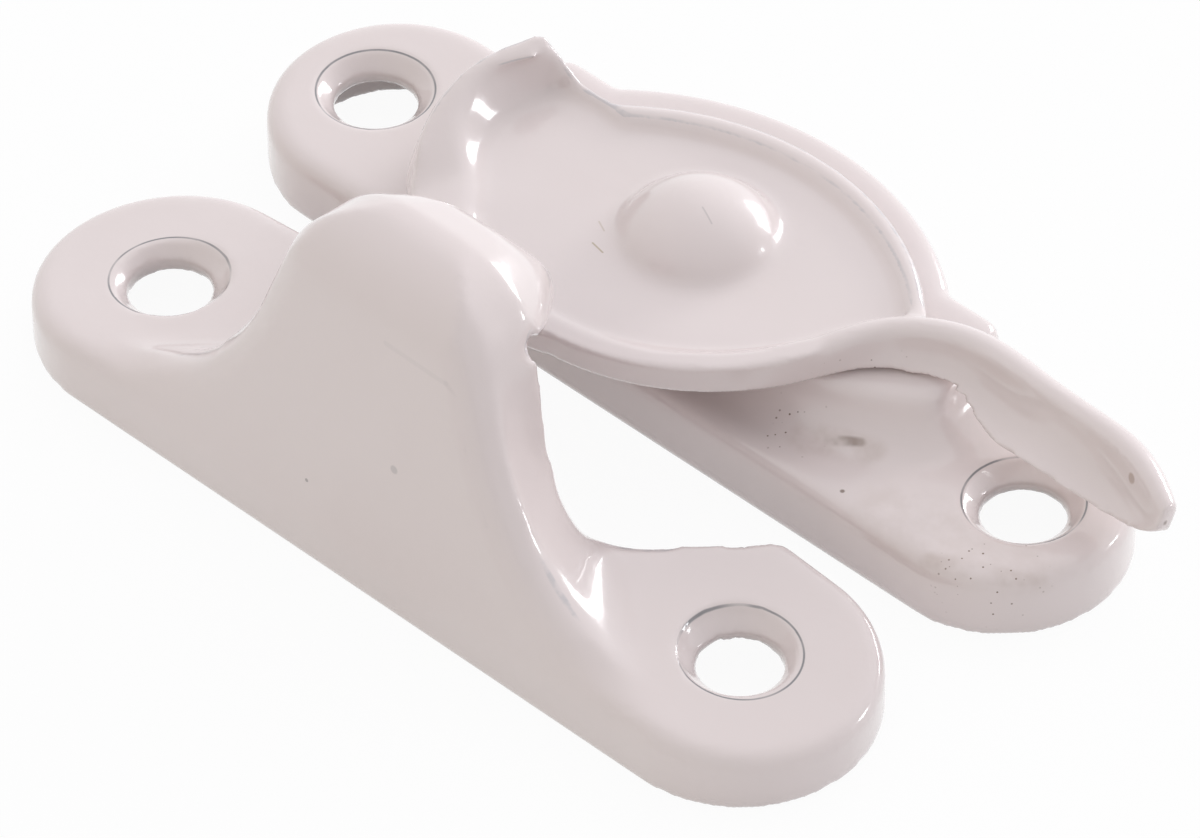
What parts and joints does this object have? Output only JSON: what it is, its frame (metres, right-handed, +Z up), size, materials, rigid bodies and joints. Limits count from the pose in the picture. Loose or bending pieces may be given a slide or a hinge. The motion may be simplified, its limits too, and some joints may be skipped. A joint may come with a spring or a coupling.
{
  "type": "sliding window lock",
  "caption": "Two-part sash window lock: an oblong base carries a turning cam lever with a thumb tab, which passes under the hook of a separate keep.",
  "frame": {"origin": "on the seating plane at the lever's pivot axis, midway between the base casting's two screw holes", "axes": "+X along the lock towards the thumb tab when locked, +Y away from the keep, +Z up from the sash rail"},
  "size_m": [0.0684, 0.0413, 0.0234],
  "materials": {
    "enamel": "glossy off-white enamel",
    "spring_steel": "bare spring steel",
    "washer_steel": "bare steel"
  },
  "bodies": {
    "lock": {"base_casting": "enamel", "keep_casting": "enamel", "spring_washer": "spring_steel"},
    "lever": {"cam_lever": "enamel", "retaining_washer": "washer_steel"}
  },
  "joints": [
    {"name": "lever_turn", "type": "hinge", "parent": "lock", "child": "lever", "pos_m": [0, 0, 0.0055], "axis": [0, 0, 1], "range_deg": [0, 180]}
  ]
}
